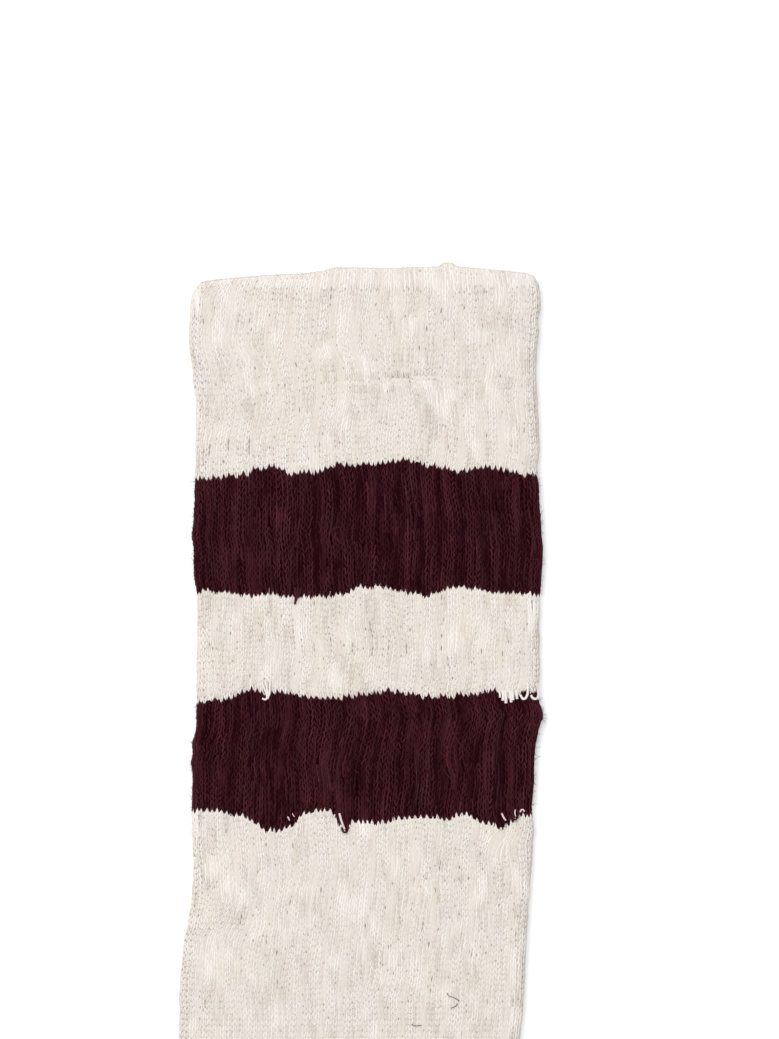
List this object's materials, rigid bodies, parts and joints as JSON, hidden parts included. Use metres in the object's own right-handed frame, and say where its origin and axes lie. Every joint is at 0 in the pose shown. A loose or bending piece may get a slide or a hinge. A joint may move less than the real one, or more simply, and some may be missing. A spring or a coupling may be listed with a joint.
{
  "type": "distressed crew sock",
  "caption": "Slubbed, worn-looking cream crew sock with two burgundy stripes, laid flat on its side with an open cuff.",
  "frame": {"origin": "on the surface that the sock lies on, below the middle of the whole sock's box", "axes": "+Y up the leg towards the open cuff, the toe points to -X with the heel at +X, and +Z out of the surface through both layers"},
  "size_m": [0.2478, 0.421, 0.0059],
  "materials": {
    "cream_yarn": "matt, slubbed cream marl cotton yarn",
    "burgundy_yarn": "matt burgundy cotton yarn, slightly fluffed"
  },
  "bodies": {
    "root": {"sock": "cream_yarn"}
  },
  "joints": []
}
